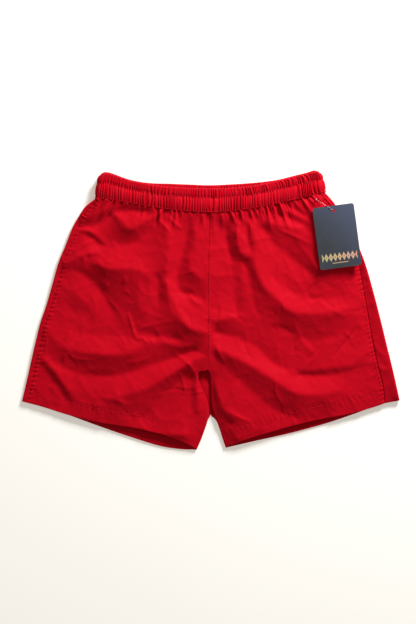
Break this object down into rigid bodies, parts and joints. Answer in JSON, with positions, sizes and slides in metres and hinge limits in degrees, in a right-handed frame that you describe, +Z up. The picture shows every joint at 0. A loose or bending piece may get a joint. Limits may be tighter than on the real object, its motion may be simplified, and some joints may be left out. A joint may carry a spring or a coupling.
{
  "type": "elasticated sports shorts",
  "caption": "Lightweight woven sports shorts lying flat, with a shirred elastic waistband, side pockets, wide hemmed legs and a card swing tag on a nylon loop.",
  "frame": {"origin": "on the surface that the shorts lie on, under the middle of their length and width", "axes": "+X to the wearer's left, +Y to the waist, +Z up from the surface, out of the front of the shorts"},
  "size_m": [0.5499, 0.4043, 0.0195],
  "materials": {
    "cloth": "bright red plain-weave microfibre polyester with a satin sheen and soft creases",
    "lining": "red pocketing, matt",
    "elastic": "off-white woven elastic",
    "thread": "red polyester sewing thread",
    "label": "white satin label, blank",
    "nylon": "clear moulded nylon",
    "card": "charcoal coated card with a soft sheen, a foil stripe and lighter cut edges"
  },
  "bodies": {
    "shorts": {"front_panel_left": "cloth", "front_panel_right": "cloth", "back_panel_left": "cloth", "back_panel_right": "cloth", "waistband_casing": "cloth", "waist_elastic": "elastic", "pocket_bag_left": "lining", "pocket_bag_right": "lining", "pocket_bartack_upper_left": "thread", "pocket_bartack_lower_left": "thread", "pocket_bartack_upper_right": "thread", "pocket_bartack_lower_right": "thread", "side_topstitch_left": "thread", "side_topstitch_right": "thread", "hem_stitch_left": "thread", "hem_stitch_right": "thread", "centre_front_topstitch": "thread", "waistband_stitch_middle": "thread", "waistband_stitch_lower": "thread", "care_label": "label"},
    "fastener": {"tag_fastener_anchor": "nylon"},
    "loop": {"tag_fastener_loop": "nylon"},
    "tag": {"swing_tag": "card"}
  },
  "joints": [
    {"name": "fastener_turn", "type": "hinge", "parent": "shorts", "child": "fastener", "pos_m": [0.153, 0.16045, 0.0181], "axis": [0, 0, 1], "range_deg": [-90, 90]},
    {"name": "loop_lift", "type": "hinge", "parent": "fastener", "child": "loop", "pos_m": [0.153, 0.16045, 0.0181], "axis": [-0.5314, -0.8471, 0], "range_deg": [0, 165]},
    {"name": "tag_swing", "type": "hinge", "parent": "loop", "child": "tag", "pos_m": [0.17816, 0.14467, 0.0181], "axis": [0, 0, 1], "range_deg": [0, 100]}
  ]
}
